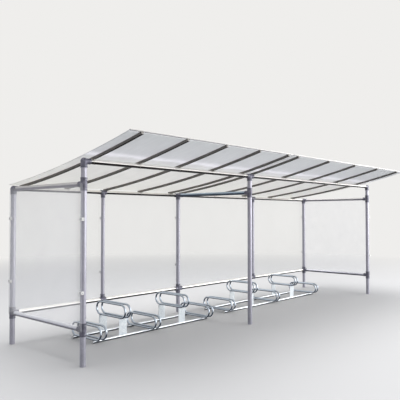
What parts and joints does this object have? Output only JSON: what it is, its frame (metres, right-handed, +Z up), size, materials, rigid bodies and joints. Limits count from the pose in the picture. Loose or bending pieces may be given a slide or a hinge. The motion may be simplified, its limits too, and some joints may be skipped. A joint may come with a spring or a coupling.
{
  "type": "bike shelter",
  "caption": "Open bike shelter: clamped steel tube frame, curved translucent lean-to roof, clear wall sheets at the back and ends, and two-level wheel racks.",
  "frame": {"origin": "on the ground, at the middle of the shelter's outer box seen from above", "axes": "+X runs along the shelter to the right seen from its open front, +Y goes from the open front to the back, +Z is up"},
  "size_m": [6.5924, 2.1955, 2.2847],
  "materials": {
    "steel_post": "galvanised steel tube, dull zinc grey",
    "steel_rail": "galvanised steel tube, dull zinc grey",
    "clamp_iron": "galvanised cast iron, dark grey",
    "rafter_metal": "powder coated, dark grey",
    "roof_sheet": "translucent pale polycarbonate",
    "edge_trim": "mill finish",
    "wall_sheet": "clear polycarbonate with a whitish haze",
    "clip_plastic": "white moulded plastic",
    "rack_tube": "hot dip galvanised, bright",
    "rack_hoop": "hot dip galvanised, blue grey",
    "rack_plate": "hot dip galvanised with spangle",
    "cap_plastic": "white moulded plastic"
  },
  "bodies": {
    "root": {"front_post_left": "steel_post", "front_post_middle": "steel_post", "front_post_right": "steel_post", "rear_post_left": "steel_post", "rear_post_middle": "steel_post", "rear_post_right": "steel_post", "rear_stanchion_left": "steel_rail", "rear_stanchion_right": "steel_rail", "front_beam_left": "steel_rail", "front_beam_right": "steel_rail", "rear_beam_left": "steel_rail", "rear_beam_right": "steel_rail", "rear_lower_rail_left": "steel_rail", "rear_lower_rail_right": "steel_rail", "side_upper_rail_left": "steel_rail", "side_upper_rail_right": "steel_rail", "cross_rail_middle": "steel_rail", "side_lower_rail_left": "steel_rail", "side_lower_rail_right": "steel_rail", "front_clamps": "clamp_iron", "rear_clamps": "clamp_iron", "stanchion_clamps": "clamp_iron", "rafters_left": "rafter_metal", "rafters_right": "rafter_metal", "roof_sheet_left": "roof_sheet", "roof_sheet_right": "roof_sheet", "roof_front_trim": "edge_trim", "side_panel_left": "wall_sheet", "side_panel_right": "wall_sheet", "rear_panel_left_outer": "wall_sheet", "rear_panel_left_inner": "wall_sheet", "rear_panel_right_inner": "wall_sheet", "rear_panel_right_outer": "wall_sheet", "panel_clips": "clip_plastic", "rack_left_base_tubes": "rack_tube", "rack_right_base_tubes": "rack_tube", "rack_left_low_hoops": "rack_hoop", "rack_left_high_hoops": "rack_hoop", "rack_right_low_hoops": "rack_hoop", "rack_right_high_hoops": "rack_hoop", "rack_left_plates": "rack_plate", "rack_right_plates": "rack_plate", "rack_left_end_caps": "cap_plastic", "rack_right_end_caps": "cap_plastic"}
  },
  "joints": []
}
